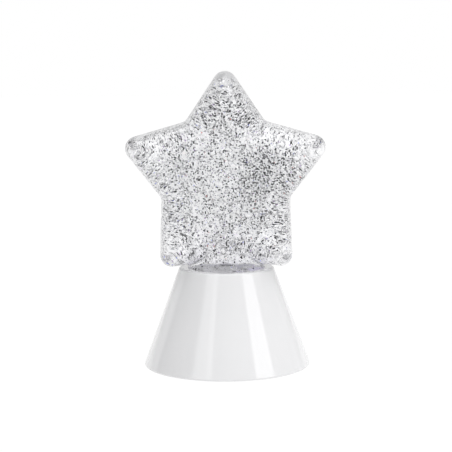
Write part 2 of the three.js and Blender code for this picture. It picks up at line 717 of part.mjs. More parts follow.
function buildBoard() {
  const topZ = BOARD_Z + BOARD_T;
  let board = cut(rod(BOARD_R, BOARD_Z, topZ, 0, 0, 32), rod(4, BOARD_Z - 1, topZ + 1, 0, 0, 16));
  POST_ANGLES.forEach((angle, i) => {
    const [x, y] = polar(STANDOFF_RING_R, angle);
    board = cut(board, rod(1.15, BOARD_Z - 1, topZ + 1, x, y, 8));
    const mesh = place(`board_screw_${i + 1}`, screw(1.7, 1.1, 0.85, 4), steel, x, y, topZ + 0.1);
    mesh.rotation.x = Math.PI;
  });
  place("circuit_board", board, boardGreen);
  const led = turned([[0, 0], [2.9, 0], [2.9, 1], [2.5, 1], ...arc(0, 3.9, 2.5, 0, 90, 3)], 14);
  [30, 150, 270].forEach((angle, i) => {
    const [x, y] = polar(LED_RING_R, angle);
    place(`led_${i + 1}`, led, ledEpoxy, x, y, topZ);
  });
  place("control_chip", block(-2.5, 2.5, -9.6, -5.6, topZ, topZ + 1.4), blackPlastic);
}

// ---------- slide switch ----------

function buildSwitch() {
  const body = cut(
    block(-6.5, 6.5, SWITCH_Y - 3, SWITCH_Y + 3, SWITCH_Z, SWITCH_Z + 5),
    block(-3.8, 3.8, SWITCH_Y - 1.3, SWITCH_Y + 1.3, SWITCH_Z - 1, SWITCH_Z + 3.2),
  );
  place("switch_body", body, steel);
  // the knob rests at the off end, half its travel from the middle
  const restX = -SWITCH_TRAVEL / 2;
  let knob = join(
    block(-2.5, 2.5, -1.8, 1.8, 0.9, SWITCH_Z - 0.3),
    block(-1, 1, -1, 1, SWITCH_Z - 1, SWITCH_Z + 2.6),
  );
  for (const x of [-1.4, 0, 1.4]) knob = cut(knob, block(x - 0.3, x + 0.3, -3, 3, 0, 1.3));
  place("switch_knob", knob, blackPlastic, restX, SWITCH_Y, 0);
}

// ---------- leads ----------

// Each lead's route is a list of points chosen by hand, end to end.
const LEADS = {
  lead_battery_plus: {
    material: redSleeve,
    route: [[25.2, 11.3, 17.2], [22.5, 10.6, 18.4], [19, 8.5, 23], [17.2, 6.6, 29], [16.6, 6, 35.1]],
  },
  lead_battery_minus: {
    material: blackSleeve,
    route: [
      [-25.2, -11.3, 17.2], [-22.5, -9, 18], [-21.5, 0, 17.6], [-19.5, 12, 17.6],
      [-13, 20.8, 16.4], [-5.5, 25.6, 12.8], [-3, 27.3, 9.7],
    ],
  },
  lead_switch: {
    material: blackSleeve,
    route: [[3, 27.3, 9.7], [3.6, 26.8, 13.5], [7, 22, 19], [9, 16.5, 27], [9, 15.3, 35.1]],
  },
  lead_motor_plus: {
    material: redSleeve,
    route: [[6.3, 0, 17.2], [10, -1.6, 17.3], [14.8, -3, 20], [16.2, -3.4, 27], [16.2, -3.4, 35.1]],
  },
  lead_motor_minus: {
    material: blackSleeve,
    route: [[-6.3, 0, 17.2], [-10, -0.6, 17.3], [-14.8, -1, 20], [-16.4, -1, 27], [-16.4, -1, 35.1]],
  },
};

function buildLeads() {
  const leadR = 0.6;
  for (const [name, { material, route }] of Object.entries(LEADS)) {
    const points = route.map((point) => new THREE.Vector3(...point));
    place(name, sweep(points, leadR, 3 * (points.length - 1), 6), material);
  }
}

buildVessel();
buildNeckPlug();
buildImpeller();
buildBaseShell();
buildBasePlate();
buildPlateScrews();
buildBatteryDoor();
buildCells();
buildContacts();
buildMotor();
buildBracket();
buildMagnetDisc();
buildBoard();
buildSwitch();
buildLeads();

export default lamp;
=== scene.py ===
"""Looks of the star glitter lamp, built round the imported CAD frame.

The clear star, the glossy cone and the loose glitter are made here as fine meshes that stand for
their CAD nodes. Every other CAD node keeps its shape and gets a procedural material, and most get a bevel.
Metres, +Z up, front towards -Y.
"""

import math
import random

import bmesh
import bpy
from mathutils import Euler, Matrix, Vector, noise


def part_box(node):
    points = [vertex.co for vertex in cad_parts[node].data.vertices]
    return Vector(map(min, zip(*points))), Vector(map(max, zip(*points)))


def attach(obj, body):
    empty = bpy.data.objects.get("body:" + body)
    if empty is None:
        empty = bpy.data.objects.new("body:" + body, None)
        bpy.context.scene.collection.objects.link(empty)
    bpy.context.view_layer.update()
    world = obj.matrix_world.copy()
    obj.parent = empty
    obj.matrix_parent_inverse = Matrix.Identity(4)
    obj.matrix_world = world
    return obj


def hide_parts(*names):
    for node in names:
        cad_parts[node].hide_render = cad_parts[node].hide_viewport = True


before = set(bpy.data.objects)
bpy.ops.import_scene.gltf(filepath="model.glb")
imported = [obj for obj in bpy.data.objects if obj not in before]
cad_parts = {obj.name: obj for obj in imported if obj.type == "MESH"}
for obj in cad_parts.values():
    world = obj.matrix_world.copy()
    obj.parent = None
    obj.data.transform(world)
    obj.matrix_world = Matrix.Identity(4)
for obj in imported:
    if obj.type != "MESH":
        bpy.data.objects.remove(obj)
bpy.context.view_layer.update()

MM = 0.001
TURN = 2 * math.pi
rng = random.Random(7)

# ---------- driving dimensions, the same as the CAD's ----------

STAR_CENTRE = Vector((0, 0, 103.4 * MM))
TIP_CENTRE_R = 49.9 * MM  # from the star's centre to the centre of each tip's rounding
TIP_R = 6.4 * MM
TIP_HALF_ANGLE = math.radians(34)
CORNER_R = 3 * MM  # rounding between two arms
CORNER_GROWTH = 3 * MM  # as the outline moves in, that rounding grows by no more than this
TIP_R_LEAST = 0.6 * MM  # and the tips' rounding shrinks no further than this
NOTCH_DEPTH = 44.5 * MM  # the bottom corner lies this far under the centre
EDGE_REACH = 34 * MM  # the face swells over this distance from the edge
EDGE_POWER = 6.5
POLE_ANGLE = 3  # the cushion's rings stop this many degrees short of the middle of each face
STAR_WALL = 2.2 * MM
STAR_HALF_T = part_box("star_back_shell")[1].y
LIQUID_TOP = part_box("star_liquid")[1].z

NECK_R = 20.4 * MM
NECK_BORE_R = 17.9 * MM
NECK_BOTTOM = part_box("star_back_shell")[0].z
NECK_TOP = 68 * MM

RIM_Z, BASE_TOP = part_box("base_shell")[0].z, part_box("base_shell")[1].z
BASE_BOTTOM_R = 45 * MM
BASE_TOP_R = 25.6 * MM
SLOPE = (BASE_BOTTOM_R - BASE_TOP_R) / (BASE_TOP - RIM_Z)
BASE_WALL = 2.4 * MM
SHOULDER_R = 1.4 * MM
RIM_R = 0.8 * MM
SOCKET_R = 20.7 * MM
SOCKET_WALL = 2.2 * MM
LIP_R = 18.3 * MM
LIP_Z, LIP_TOP = 42.2 * MM, 44 * MM
CEILING_Z = 51.8 * MM
LEDGE_R, LEDGE_Z = 43.1 * MM, 3.8 * MM

# ---------- the looks' own values ----------

# Voxel sizes that join the star to its neck and the cloud to its plume, and angles, in degrees, past which
# an edge is left hard.
SHELL_VOXEL, CLOUD_VOXEL = 0.7 * MM, 1.0 * MM
HARD_EDGE, BASE_HARD_EDGE = 50, 40

# The cloud is the glitter deep in the star, where it is too thick to see through. The plume is what the
# stirrer drives up into it from the neck.
CLOUD_TOP = LIQUID_TOP - 1.5 * MM
CLOUD_INSET = 6 * MM
CLOUD_HALF_T = STAR_HALF_T - 8.5 * MM
MIDDLE_REACH, FACE_REACH = 3 * MM, 9 * MM  # painted shade: it grows paler between these, from the middle plane, so its rim stays greyer
PLUME_R = 13 * MM
PLUME_BOTTOM, PLUME_TOP = 58 * MM, 76 * MM

# Loose flakes, which lie between the cloud and the wall.
STAR_FLAKES, NECK_FLAKES, SURFACE_FLAKES = 32000, 650, 90
STAR_PARTS = 3  # the star's flakes are shared out over this many pieces
FLAKE_SIDES = 6
FLAKE_THICKNESS = 0.05 * MM
FLAKE_RADII = (0.2 * MM, 0.34 * MM)
DARK_FLAKE_RADII = (0.38 * MM, 0.49 * MM)
GRID = 0.8 * MM  # the edge's distance is worked out on this grid
EDGE_CLEAR = 0.8 * MM
TOP_CLEAR = 1.4 * MM  # flakes sink away from walls that face up
SURFACE_CLEAR = 1.5 * MM
WALL_CLEAR, CLOUD_CLEAR = 0.5 * MM, 0.2 * MM

# The chance that a place holds a flake, and how much the noise and the swirl add to it.
CROWDING, CROWDING_NOISE, CROWDING_SWIRL = 0.65, 0.2, 0.3
CROWDING_SCALE = 60  # the noise's waves are about 1 / 60 of a metre

DRAWN_DEPTH = 11 * MM  # nearer the edge than this, flakes look drawn out across the curve
DRAWN_STRETCH = 4  # at the very edge they gain this many of their own lengths
DRAWN_SHARE = 0.5  # the rest lie there as they are
DRAWN_THINNING = 0.13  # a drawn-out flake is this much smaller for each length it gains
TIP_THINNING = 0.8  # taken from the swirl in the arms' tips, where flakes are few
TIP_DEPTH = 3 * MM  # the tips start this much nearer the middle than the centres of their rounding
FACING_SHARE, DRAWN_FACING_SHARE = 0.4, 0.9  # flakes turned nearly flat to the front
FACING_TILT = math.radians(30)
DARK_FACTOR, DARK_SWIRL = 0.9, 1.6  # how the dark flakes' share follows the swirl

# Where the swirl gathers the flakes or leaves few: (x, height over the star's centre, reach, change).
SWIRLS = [
    (20 * MM, 5 * MM, 11 * MM, 1.0),
    (3 * MM, 32 * MM, 9 * MM, 0.45),
    (-36 * MM, 12 * MM, 4 * MM, -0.8),
    (-12 * MM, 21 * MM, 5 * MM, -0.7),
    (13 * MM, 20 * MM, 5 * MM, -0.8),
    (41 * MM, 12 * MM, 5 * MM, -0.8),
]

# Flakes in the neck lie along its wall, outside the room that the impeller needs.
IMPELLER_ROOM_R = 15.2 * MM
NECK_FLAKES_R = NECK_BORE_R - 0.6 * MM
NECK_FLAKES_Z = (54 * MM, NECK_TOP - 4 * MM)
NECK_SWIRL = 0.3

# Bright flakes float at the liquid's top, along the wall in front and behind.
SURFACE_HALF_WIDTH = 4.2 * MM
SURFACE_REACH = (6, 9.5)  # millimetres from the middle plane
SURFACE_SINK = (0.4, 1.2)  # millimetres under the surface
SURFACE_SWIRL = -1

SOCKET_EDGE_R = 0.5 * MM  # rounding of the socket's top edge
ROUNDING_INSET = 0.1 * MM  # the rim's and the shoulder's rounding stay this far inside the slope
BASE_SIDES = 224

# Bevels of the CAD nodes' edges.
BEVEL, PLATE_BEVEL, METAL_BEVEL, SHEET_BEVEL = 0.15 * MM, 0.25 * MM, 0.05 * MM, 0.04 * MM
BEVEL_ANGLE = math.radians(50)

# The camera: a long lens, a little above the star's top and tilted down.
CAMERA_PLACE = (0, -766.75 * MM, 174.3 * MM)
CAMERA_LENS, CAMERA_SENSOR = 114, 36  # in millimetres, as Blender takes them
CAMERA_PITCH, CAMERA_ROLL = math.radians(90 - 7.28), math.radians(-0.5)

FLOOR_HALF = 4.0  # metres
PAPER_WHITE = 1.0  # what the camera sees of the floor and the world
FLOOR_GLOW = 0.94  # what the floor gives the lamp


# ---------- mesh helpers ----------


def add_piece(name, mesh, body="lamp", replaced=()):
    """Links a mesh as a piece that rides on a CAD body."""
    piece = bpy.data.objects.new(name, mesh)
    bpy.context.scene.collection.objects.link(piece)
    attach(piece, body)
    if replaced:
        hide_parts(*replaced)
    return piece


def loft(rings, first_pole, last_pole):
    """A closed mesh through rings of equally many points, closed by a point at each end."""
    count = len(rings[0])
    points = [tuple(point) for ring in rings for point in ring]
    faces = []
    for level in range(len(rings) - 1):
        low, high = level * count, (level + 1) * count
        for k in range(count):
            after = (k + 1) % count
            faces.append((low + k, low + after, high + after, high + k))
    first, last = len(points), len(points) + 1
    points += [tuple(first_pole), tuple(last_pole)]
    top = (len(rings) - 1) * count
    for k in range(count):
        after = (k + 1) % count
        faces.append((first, after, k))
        faces.append((last, top + k, top + after))
    return outward(mesh_of(points, faces))


def mesh_of(points, faces):
    mesh = bpy.data.meshes.new("made")
    mesh.from_pydata(points, [], faces)
    return mesh


def outward(mesh):
    """Turns a closed mesh's faces outward."""
    work = bmesh.new()
    work.from_mesh(mesh)
    bmesh.ops.recalc_face_normals(work, faces=work.faces)
    if work.calc_volume(signed=True) < 0:
        bmesh.ops.reverse_faces(work, faces=work.faces)
    work.to_mesh(mesh)
    work.free()
    return mesh


def turned(profile, sides):
    """A closed profile of (radius, height) pairs turned about the Z axis."""
    count = len(profile)
    points = []
    faces = []
    for step in range(sides):
        angle = TURN * step / sides
        points += [(r * math.cos(angle), r * math.sin(angle), z) for r, z in profile]
        here, there = step * count, ((step + 1) % sides) * count
        for k in range(count):
            after = (k + 1) % count
            faces.append((here + k, here + after, there + after, there + k))
    return outward(mesh_of(points, faces))


def arc(r, z, radius, start, end, steps):
    """Points of a profile on an arc, from one angle to the other in degrees."""
    angles = [math.radians(start + (end - start) * i / steps) for i in range(steps + 1)]
    return [(r + radius * math.cos(a), z + radius * math.sin(a)) for a in angles]


def joined(*meshes):
    """One mesh that holds several, each still closed by itself."""
    work = bmesh.new()
    for mesh in meshes:
        work.from_mesh(mesh)
    result = bpy.data.meshes.new("joined")
    work.to_mesh(result)
    work.free()
    return result


def with_modifiers(mesh, *settings):
    """The mesh after modifiers, each given as its type and a dict of its values."""
    helper = bpy.data.objects.new("helper", mesh)
    bpy.context.scene.collection.objects.link(helper)
    for kind, values in settings:
        modifier = helper.modifiers.new(kind.lower(), kind)
        for key, value in values.items():
            setattr(modifier, key, value)
    result = bpy.data.meshes.new_from_object(helper.evaluated_get(bpy.context.evaluated_depsgraph_get()))
    bpy.data.objects.remove(helper)
    return result


def smooth_shaded(mesh, angle=None):
    """Shades a mesh smooth, with edges sharper than the angle in degrees left hard."""
    mesh.shade_smooth()
    if angle is not None:
        mesh.set_sharp_from_angle(angle=math.radians(angle))
    return mesh


# ---------- the star's shape ----------


def star_corners():
    """The outline's sharp corners as (point, is a tip), anticlockwise from the top tip."""
    tip_reach = TIP_CENTRE_R + TIP_R / math.sin(TIP_HALF_ANGLE)
    lean = math.tan(TIP_HALF_ANGLE)
    corner_reach = tip_reach * lean / (math.sin(math.pi / 5) + math.cos(math.pi / 5) * lean)
    corners = []
    for arm in range(5):
        tip_angle = math.pi / 2 + TURN * arm / 5
        corner_angle = tip_angle + math.pi / 5
        corners.append((tip_reach * Vector((math.cos(tip_angle), math.sin(tip_angle))), True))
        corner = corner_reach * Vector((math.cos(corner_angle), math.sin(corner_angle)))
        corners.append((Vector((0, -NOTCH_DEPTH)) if arm == 2 else corner, False))
    return corners


def corner_frame(corners, i):
    """The unit vectors from a corner to its neighbours, and half the angle between them."""
    at = corners[i][0]
    before = (corners[i - 1][0] - at).normalized()
    after = (corners[(i + 1) % len(corners)][0] - at).normalized()
    return before, after, before.angle(after) / 2


def star_outline(inset, tip_steps=14, corner_steps=6):
    """The outline moved in by an inset, as (x, z) about the star's centre. Points pair up between insets."""
    corners = star_corners()
    moved = []
    for i, (at, is_tip) in enumerate(corners):
        before, after, half = corner_frame(corners, i)
        inward = (before + after).normalized() * (1 if is_tip else -1)
        moved.append((at + inward * inset / math.sin(half), is_tip))
    points = []
    for i, (at, is_tip) in enumerate(moved):
        before, after, half = corner_frame(moved, i)
        tip_radius, corner_radius = max(TIP_R - inset, TIP_R_LEAST), CORNER_R + min(inset, CORNER_GROWTH)
        radius = tip_radius if is_tip else corner_radius
        centre = at + (before + after).normalized() * radius / math.sin(half)
        start = at + before * radius / math.tan(half) - centre
        end = at + after * radius / math.tan(half) - centre
        start_angle = math.atan2(start.y, start.x)
        sweep = (math.atan2(end.y, end.x) - start_angle + 3 * math.pi) % TURN - math.pi
        steps = tip_steps if is_tip else corner_steps
        for k in range(steps + 1):
            angle = start_angle + sweep * k / steps
            points.append((centre.x + radius * math.cos(angle), centre.y + radius * math.sin(angle)))
    return points


def star_cushion(inset, half_thickness, levels=28):
    """A closed cushion-shaped star: rings from the middle of the front face, round the edge, to the back."""
    rings = []
    for level in range(levels + 1):
        phase = math.radians(POLE_ANGLE + (180 - 2 * POLE_ANGLE) * level / levels)
        reach = EDGE_REACH * (1 - math.sin(phase) ** (2 / EDGE_POWER))
        y = -half_thickness * math.cos(phase)
        rings.append([STAR_CENTRE + Vector((x, y, z)) for x, z in star_outline(inset + reach)])
    front = STAR_CENTRE - Vector((0, half_thickness, 0))
    back = STAR_CENTRE + Vector((0, half_thickness, 0))
    return loft(rings, front, back)


def neck_cylinder(radius, low, high, sides=120):
    angles = [TURN * k / sides for k in range(sides)]
    rings = [[(radius * math.cos(a), radius * math.sin(a), z) for a in angles] for z in (low, high)]
    return loft(rings, (0, 0, low), (0, 0, high))


def swell(depth, half_thickness):
    """Half the cushion's thickness at a depth in from its edge."""
    share = min(max(depth / EDGE_REACH, 0), 1)
    return half_thickness * math.sqrt(1 - (1 - share) ** EDGE_POWER)


def edge_distance(x, z, outline):
    """How far a point lies inside an outline, negative outside, and the direction to the nearest edge."""
    inside = False
    nearest = Vector((1, 0))
    count = len(outline)
    for k in range(count):
        (x0, z0), (x1, z1) = outline[k], outline[(k + 1) % count]
        if (z0 > z) != (z1 > z) and x < x0 + (z - z0) * (x1 - x0) / (z1 - z0):
            inside = not inside
        along = ((x - x0) * (x1 - x0) + (z - z0) * (z1 - z0)) / ((x1 - x0) ** 2 + (z1 - z0) ** 2)
        along = min(max(along, 0), 1)
        way = Vector((x - x0 - along * (x1 - x0), z - z0 - along * (z1 - z0)))
        if way.length_squared < nearest.length_squared:
            nearest = way
    return (nearest.length if inside else -nearest.length), nearest.normalized()


# ---------- materials ----------


class Shader:
    """A material with a Principled shader and short calls for the textures that feed it."""

    def __init__(self, name, colour, roughness, **sockets):
        self.material = bpy.data.materials.new(name)
        self.material.use_nodes = True
        self.nodes = self.material.node_tree.nodes
        self.links = self.material.node_tree.links
        self.main = self.nodes["Principled BSDF"]
        self.colour = colour
        self.roughness = roughness
        self.main.inputs["Base Color"].default_value = (*colour, 1)
        self.main.inputs["Roughness"].default_value = roughness
        for socket, value in sockets.items():
            self.main.inputs[socket.replace("_", " ")].default_value = value

    def node(self, kind, **values):
        made = self.nodes.new(kind)
        for key, value in values.items():
            if key in made.inputs:
                made.inputs[key].default_value = value
            else:
                setattr(made, key, value)
        return made

    def place(self):
        """Object coordinates, which are the row frame's metres."""
        return self.node("ShaderNodeTexCoord").outputs["Object"]

    def grain(self, scale, detail=3.0, stretch=(1, 1, 1)):
        """Noise with features about 1 / scale metres across."""
        mapping = self.node("ShaderNodeMapping")
        mapping.inputs["Scale"].default_value = stretch
        self.links.new(self.place(), mapping.inputs["Vector"])
        texture = self.node("ShaderNodeTexNoise", Scale=scale, Detail=detail)
        self.links.new(mapping.outputs["Vector"], texture.inputs["Vector"])
        return texture.outputs["Fac"]

    def ranged(self, value, low, high):
        """A texture's middle range, 0.35 to 0.65, spread over low to high."""
        spread = self.node("ShaderNodeMapRange")
        spread.inputs["From Min"].default_value = 0.35
        spread.inputs["From Max"].default_value = 0.65
        spread.inputs["To Min"].default_value = low
        spread.inputs["To Max"].default_value = high
        self.links.new(value, spread.inputs["Value"])
        return spread.outputs["Result"]

    def tint(self, value, low, high):
        """The base colour times a factor that follows a texture from low to high."""
        mix = self.node("ShaderNodeMix", data_type="RGBA")
        mix.inputs["A"].default_value = (*[c * low for c in self.colour], 1)
        mix.inputs["B"].default_value = (*[min(c * high, 1) for c in self.colour], 1)
        self.links.new(self.ranged(value, 0, 1), mix.inputs["Factor"])
        self.links.new(mix.outputs["Result"], self.main.inputs["Base Color"])

    def times(self, colour, factor):
        mix = self.node("ShaderNodeMix", data_type="RGBA", blend_type="MULTIPLY")
        mix.inputs["Factor"].default_value = 1.0
        self.links.new(colour, mix.inputs["A"])
        self.links.new(factor, mix.inputs["B"])
        return mix.outputs["Result"]

    def paler_from_middle(self, low, high):
        """Painted shade: a factor that grows from low at the star's middle plane to high towards its faces,
        which greys the cloud's rim.
        """
        split = self.node("ShaderNodeSeparateXYZ")
        self.links.new(self.place(), split.inputs["Vector"])
        away = self.node("ShaderNodeMath", operation="ABSOLUTE")
        self.links.new(split.outputs["Y"], away.inputs[0])
        spread = self.node("ShaderNodeMapRange")
        spread.inputs["From Min"].default_value = MIDDLE_REACH
        spread.inputs["From Max"].default_value = FACE_REACH
        spread.inputs["To Min"].default_value = low
        spread.inputs["To Max"].default_value = high
        self.links.new(away.outputs["Value"], spread.inputs["Value"])
        return spread.outputs["Result"]

    def vary_roughness(self, value, low, high):
        self.links.new(self.ranged(value, low, high), self.main.inputs["Roughness"])

    def bump(self, value, height, strength=1.0):
        """Raises the surface by a texture. The height is in metres."""
        bump = self.node("ShaderNodeBump", Strength=strength, Distance=height)
        self.links.new(value, bump.inputs["Height"])
        self.links.new(bump.outputs["Normal"], self.main.inputs["Normal"])


def gloss_white():
    """The cone: injection-moulded gloss plastic with a faint orange peel."""
    shader = Shader("gloss_white", (0.84, 0.84, 0.85), 0.12, IOR=1.5, Coat_Weight=1.0, Coat_Roughness=0.03)
    shader.tint(shader.grain(30), 0.985, 1.01)
    shader.vary_roughness(shader.grain(220), 0.08, 0.15)
    shader.bump(shader.grain(300, 1.0), 0.01 * MM, 0.1)
    return shader.material


def satin_white():
    """Inner mouldings and the bottom plate: a fine spark-eroded grain."""
    shader = Shader("satin_white", (0.8, 0.8, 0.8), 0.45, IOR=1.5)
    shader.tint(shader.grain(60), 0.96, 1.02)
    shader.vary_roughness(shader.grain(900), 0.38, 0.55)
    shader.bump(shader.grain(2600, 2.0), 0.03 * MM, 0.5)
    return shader.material


def clear_acrylic():
    shader = Shader("clear_acrylic", (0.93, 0.932, 0.935), 0.0, IOR=1.43, Transmission_Weight=1.0)
    shader.bump(shader.grain(90, 1.0), 0.05 * MM, 0.12)
    return shader.material


def frosted_acrylic():
    """The neck's plug, cool and slightly lilac, with a painted lilac glow that lightens it as seen through
    the neck.
    """
    shader = Shader("frosted_acrylic", (0.8, 0.78, 0.88), 0.35, IOR=1.49)
    # Painted glow: a lilac emission that lightens the plug, which holds no lamp.
    shader.main.inputs["Emission Color"].default_value = (0.8, 0.76, 0.95, 1)
    shader.main.inputs["Emission Strength"].default_value = 0.5
    shader.tint(shader.grain(140), 0.9, 1.08)
    shader.vary_roughness(shader.grain(700), 0.28, 0.45)
    return shader.material


def rubber(name, colour):
    shader = Shader(name, colour, 0.75, IOR=1.45)
    shader.tint(shader.grain(180), 0.88, 1.08)
    shader.vary_roughness(shader.grain(800), 0.65, 0.85)
    shader.bump(shader.grain(2200), 0.04 * MM, 0.5)
    return shader.material


def plated_steel():
    """Zinc plating with a fine brushed streak."""
    shader = Shader("plated_steel", (0.6, 0.6, 0.62), 0.3, Metallic=1.0)
    shader.tint(shader.grain(300), 0.85, 1.1)
    shader.vary_roughness(shader.grain(900, 3.0, (1, 1, 12)), 0.2, 0.42)
    shader.bump(shader.grain(1500, 2.0, (1, 1, 14)), 0.01 * MM, 0.3)
    return shader.material


def drawn_can():
    shader = Shader("drawn_can", (0.62, 0.63, 0.65), 0.28, Metallic=1.0)
    shader.tint(shader.grain(160), 0.88, 1.06)
    shader.vary_roughness(shader.grain(700, 3.0, (1, 1, 0.1)), 0.18, 0.4)
    return shader.material


def nickel():
    shader = Shader("nickel", (0.56, 0.55, 0.53), 0.15, Metallic=1.0)
    shader.tint(shader.grain(400), 0.9, 1.08)
    shader.vary_roughness(shader.grain(1100), 0.1, 0.25)
    return shader.material


def solder_mask():
    """The board: dark green mask with lighter copper tracks showing through."""
    shader = Shader("solder_mask", (0.02, 0.16, 0.07), 0.3, IOR=1.5)
    tracks = shader.node("ShaderNodeTexBrick", Scale=1.0)
    tracks.inputs["Color1"].default_value = (0.015, 0.13, 0.055, 1)
    tracks.inputs["Color2"].default_value = (0.02, 0.16, 0.07, 1)
    tracks.inputs["Mortar"].default_value = (0.04, 0.27, 0.11, 1)
    tracks.inputs["Mortar Size"].default_value = 0.25 * MM
    tracks.inputs["Brick Width"].default_value = 5 * MM
    tracks.inputs["Row Height"].default_value = 2.2 * MM
    shader.links.new(shader.place(), tracks.inputs["Vector"])
    shader.links.new(tracks.outputs["Color"], shader.main.inputs["Base Color"])
    shader.vary_roughness(shader.grain(500), 0.22, 0.4)
    return shader.material


def led_epoxy():
    shader = Shader("led_epoxy", (0.9, 0.92, 0.95), 0.08, IOR=1.5, Transmission_Weight=0.6)
    shader.tint(shader.grain(500), 0.9, 1.05)
    return shader.material


def satin_black():
    shader = Shader("satin_black", (0.02, 0.02, 0.022), 0.45, IOR=1.5)
    shader.tint(shader.grain(300), 0.7, 1.4)
    shader.vary_roughness(shader.grain(900), 0.38, 0.58)
    shader.bump(shader.grain(2400), 0.02 * MM, 0.4)
    return shader.material


def cell_sleeve():
    """A plain two-tone film sleeve with no lettering."""
    shader = Shader("cell_sleeve", (0.03, 0.09, 0.24), 0.28, IOR=1.5, Coat_Weight=0.4)
    shader.tint(shader.grain(90), 0.85, 1.12)
    shader.vary_roughness(shader.grain(600), 0.2, 0.36)
    return shader.material


def vinyl(name, colour):
    shader = Shader(name, colour, 0.5, IOR=1.5)
    shader.tint(shader.grain(250), 0.85, 1.12)
    shader.vary_roughness(shader.grain(900), 0.42, 0.6)
    return shader.material


# Loose glitter: aluminised film, cut to hexagons. Most flakes are silver; the near-black kind is a painted
# dark reflection, for silver flakes that mirror dark surroundings, and a few carry a rainbow film. Each kind
# has its name, colour, roughness and share.
GLITTER = [
    ("glitter_bright", (0.97, 0.97, 0.98), 0.2, 22),
    ("glitter_silver", (0.78, 0.78, 0.8), 0.25, 28),
    ("glitter_grey", (0.42, 0.42, 0.44), 0.3, 32),
    # Painted dark reflection: this kind is near black, for silver flakes that mirror dark surroundings.
    ("glitter_dark", (0.01, 0.01, 0.013), 0.4, 9),
    ("glitter_blue", (0.25, 0.28, 0.7), 0.2, 0.8),
    ("glitter_violet", (0.45, 0.25, 0.62), 0.2, 0.7),
    ("glitter_red", (0.65, 0.22, 0.2), 0.2, 0.3),
]
GLITTER_GREY, GLITTER_DARK = 2, 3  # their places in the list
FLAKE_GLOW = 0.15  # light that has bounced about inside the star, as a share of each flake's colour

# The cloud's flakes run together: its cells to a metre, the steps where their grey changes, and its painted
# glow, an emission for light that goes to and fro between the flakes. The white steps are painted glints and
# the darkest step a painted dark reflection.
CLOUD_CELLS = 1300.0
CLOUD_GREYS = [(0.0, 0.34), (0.12, 0.6), (0.36, 0.8), (0.58, 0.93), (0.82, 1.0)]
CLOUD_GLOW = 0.53


def glitter_cloud():
    """The glitter deep in the star, as one body: pale, with the flakes' shades run together into painted
    glints and painted dark reflections, and a painted glow.
    """
    shader = Shader("glitter_cloud", (0.9, 0.9, 0.91), 0.5, IOR=1.35)
    flakes = shader.node("ShaderNodeTexVoronoi", Scale=CLOUD_CELLS)
    shader.links.new(shader.place(), flakes.inputs["Vector"])
    pick = shader.node("ShaderNodeSeparateColor")
    shader.links.new(flakes.outputs["Color"], pick.inputs["Color"])
    shades = shader.node("ShaderNodeValToRGB")
    shades.color_ramp.interpolation = "CONSTANT"
    for position, grey in CLOUD_GREYS:
        element = shades.color_ramp.elements.new(position)
        element.color = (grey * 0.99, grey * 0.99, grey, 1)
    shades.color_ramp.elements.remove(shades.color_ramp.elements[0])
    shader.links.new(pick.outputs["Red"], shades.inputs["Fac"])
    # Painted soft patches of light, from a slow noise over the cloud.
    light_patches = shader.ranged(shader.grain(45, 2.0), 0.88, 1.05)
    # Painted shade that greys the cloud's rim.
    paler = shader.paler_from_middle(0.84, 1.03)
    colour = shader.times(shader.times(shades.outputs["Color"], light_patches), paler)
    shader.links.new(colour, shader.main.inputs["Base Color"])
    # Painted glow: the cloud gives out light in its own colour, standing for light that bounces between the
    # flakes.
    shader.links.new(colour, shader.main.inputs["Emission Color"])
    shader.main.inputs["Emission Strength"].default_value = CLOUD_GLOW
    return shader.material


def bubble_grey():
    """The bubble's skin: one soft grey painted in as the pale room that it mirrors, with a faint painted
    glow.
    """
    shader = Shader("bubble_grey", (0.66, 0.66, 0.67), 0.35, IOR=1.3)
    shader.tint(shader.grain(250), 0.97, 1.03)
    shader.vary_roughness(shader.grain(500), 0.3, 0.4)
    # Painted glow in the bubble's grey, which lightens it further.
    shader.main.inputs["Emission Color"].default_value = (0.66, 0.66, 0.67, 1)
    shader.main.inputs["Emission Strength"].default_value = 0.2
    return shader.material


def glitter_materials():
    materials = []
    for name, colour, roughness, _ in GLITTER:
        shader = Shader(name, colour, roughness, Metallic=1.0)
        shader.tint(shader.grain(1500, 1.0), 0.88, 1.12)
        shader.vary_roughness(shader.grain(2500, 1.0), 0.8 * roughness, 1.2 * roughness)
        shader.main.inputs["Emission Color"].default_value = (*colour, 1)
        shader.main.inputs["Emission Strength"].default_value = FLAKE_GLOW
        materials.append(shader.material)
    return materials


# ---------- pieces ----------


def build_star_shell(material):
    """The clear vessel with its neck, as one solid: acrylic and liquid bend light nearly alike."""
    rough = joined(
        star_cushion(0, STAR_HALF_T),
        neck_cylinder(NECK_R, NECK_BOTTOM, NECK_TOP),
    )
    shell = with_modifiers(
        rough,
        ("REMESH", {"mode": "VOXEL", "voxel_size": SHELL_VOXEL, "use_smooth_shade": True}),
        ("SMOOTH", {"factor": 0.5, "iterations": 10}),
    )
    smooth_shaded(shell, HARD_EDGE)
    shell.materials.append(material)
    add_piece("star_shell", shell, "lamp", ("star_front_shell", "star_back_shell"))


def build_bubble(material):
    """The air in the top tip, as a body: it fills the inside of the wall above the liquid."""
    work = bmesh.new()
    work.from_mesh(star_cushion(STAR_WALL, STAR_HALF_T - STAR_WALL))
    everything = work.verts[:] + work.edges[:] + work.faces[:]
    cut = bmesh.ops.bisect_plane(
        work, geom=everything, plane_co=(0, 0, LIQUID_TOP), plane_no=(0, 0, 1), clear_inner=True
    )
    rim = [item for item in cut["geom_cut"] if isinstance(item, bmesh.types.BMEdge)]
    bmesh.ops.holes_fill(work, edges=rim, sides=0)
    mesh = bpy.data.meshes.new("bubble")
    work.to_mesh(mesh)
    work.free()
    smooth_shaded(outward(mesh), HARD_EDGE)
    mesh.materials.append(material)
    add_piece("air_bubble", mesh, "lamp", ("star_liquid",))


